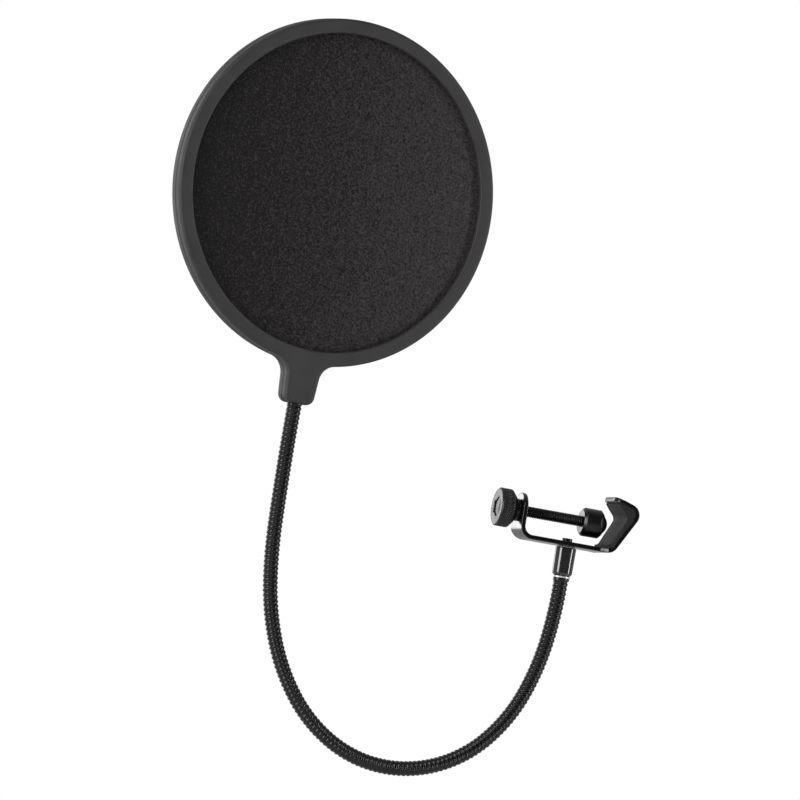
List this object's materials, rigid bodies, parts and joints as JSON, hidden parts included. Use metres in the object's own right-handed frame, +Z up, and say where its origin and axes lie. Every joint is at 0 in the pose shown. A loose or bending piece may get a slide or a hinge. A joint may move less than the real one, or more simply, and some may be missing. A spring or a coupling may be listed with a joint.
{
  "type": "pop filter",
  "caption": "Round two-screen pop filter on a bendable gooseneck, with a screw clamp that grips a microphone stand tube.",
  "frame": {"origin": "centre of the gripped tube, at the middle of the claw liner", "axes": "+Y along the gripped tube, away from the speaker; +X from the knob to the claw; +Z up"},
  "size_m": [0.2395, 0.0312, 0.3285],
  "materials": {
    "strap": "satin black coat",
    "liner": "matte",
    "foot": "satin",
    "nose": "matte",
    "screw": "black zinc",
    "knob": "knurled",
    "clip": "plain",
    "swivel_screw": "black zinc",
    "washer": "nylon",
    "ferrule": "gloss black",
    "ring": "polished",
    "collar": "satin black",
    "winding": "satin black",
    "core": "satin black",
    "anchor": "plain",
    "hoop": "satin",
    "spacer": "satin",
    "front_mesh": "knitted nylon",
    "rear_mesh": "knitted nylon",
    "case_screw": "plain"
  },
  "bodies": {
    "clamp": {"clamp_strap": "strap", "jaw_liner": "liner"},
    "foot": {"pressure_cup": "foot", "pressure_nose": "nose"},
    "screw": {"thumb_screw": "screw", "knob": "knob", "foot_retainer": "clip"},
    "swivel": {"swivel_screw": "swivel_screw", "swivel_washer": "washer", "ferrule": "ferrule", "ferrule_ring": "ring", "end_collar": "collar", "neck_01": "winding", "core_01": "core"},
    "link_02": {"neck_02": "winding", "core_02": "core"},
    "link_03": {"neck_03": "winding", "core_03": "core"},
    "link_04": {"neck_04": "winding", "core_04": "core"},
    "link_05": {"neck_05": "winding", "core_05": "core"},
    "link_06": {"neck_06": "winding", "core_06": "core"},
    "link_07": {"neck_07": "winding", "core_07": "core"},
    "link_08": {"neck_08": "winding", "core_08": "core"},
    "link_09": {"neck_09": "winding", "core_09": "core"},
    "link_10": {"neck_10": "winding", "core_10": "core"},
    "link_11": {"neck_11": "winding", "core_11": "core"},
    "hoop": {"neck_12": "winding", "core_12": "core", "neck_anchor": "anchor", "front_frame": "hoop", "rear_frame": "hoop", "spacer_ring": "spacer", "front_screen": "front_mesh", "rear_screen": "rear_mesh", "neck_screws": "case_screw"}
  },
  "joints": [
    {"name": "screw_travel", "type": "slide", "parent": "clamp", "child": "foot", "axis": [1, 0, 0], "range_m": [-0.0261, 0.0001]},
    {"name": "screw_turn", "type": "hinge", "parent": "foot", "child": "screw", "pos_m": [0, 0, -0.0024], "axis": [1, 0, 0], "range_deg": [-11700, 0]},
    {"name": "clamp_swivel", "type": "hinge", "parent": "clamp", "child": "swivel", "pos_m": [-0.0106, 0, -0.0147], "axis": [0, 0, 1], "continuous": true},
    {"name": "bend_02", "type": "hinge", "parent": "swivel", "child": "link_02", "pos_m": [-0.01245, 0, -0.05661], "axis": [0, 1, 0], "range_deg": [-25, 8]},
    {"name": "bend_03", "type": "hinge", "parent": "link_02", "child": "link_03", "pos_m": [-0.01907, 0, -0.08221], "axis": [0.9336, 0, -0.3584], "range_deg": [-20, 20]},
    {"name": "bend_04", "type": "hinge", "parent": "link_03", "child": "link_04", "pos_m": [-0.03265, 0, -0.10481], "axis": [0, 1, 0], "range_deg": [-25, 4]},
    {"name": "bend_05", "type": "hinge", "parent": "link_04", "child": "link_05", "pos_m": [-0.05378, 0, -0.12045], "axis": [0, 1, 0], "range_deg": [-25, 4]},
    {"name": "bend_06", "type": "hinge", "parent": "link_05", "child": "link_06", "pos_m": [-0.07957, 0, -0.12547], "axis": [-0.0349, 0, -0.9994], "range_deg": [-20, 20]},
    {"name": "bend_07", "type": "hinge", "parent": "link_06", "child": "link_07", "pos_m": [-0.10487, 0, -0.11845], "axis": [0, 1, 0], "range_deg": [-25, 4]},
    {"name": "bend_08", "type": "hinge", "parent": "link_07", "child": "link_08", "pos_m": [-0.12489, 0, -0.10135], "axis": [0, 1, 0], "range_deg": [-25, 4]},
    {"name": "bend_09", "type": "hinge", "parent": "link_08", "child": "link_09", "pos_m": [-0.13789, 0, -0.07837], "axis": [-0.9336, 0, -0.3584], "range_deg": [-20, 20]},
    {"name": "bend_10", "type": "hinge", "parent": "link_09", "child": "link_10", "pos_m": [-0.14451, 0, -0.05277], "axis": [0, 1, 0], "range_deg": [-25, 6]},
    {"name": "bend_11", "type": "hinge", "parent": "link_10", "child": "link_11", "pos_m": [-0.14659, 0, -0.02637], "axis": [-0.9998, 0, -0.0175], "range_deg": [-20, 20]},
    {"name": "bend_12", "type": "hinge", "parent": "link_11", "child": "hoop", "pos_m": [-0.14682, 0, 0.00013], "axis": [0, 1, 0], "range_deg": [-25, 8]}
  ],
  "couplings": [
    {"joint": "screw_travel", "follows": "screw_turn", "m_per_rad": 0.00012732}
  ]
}
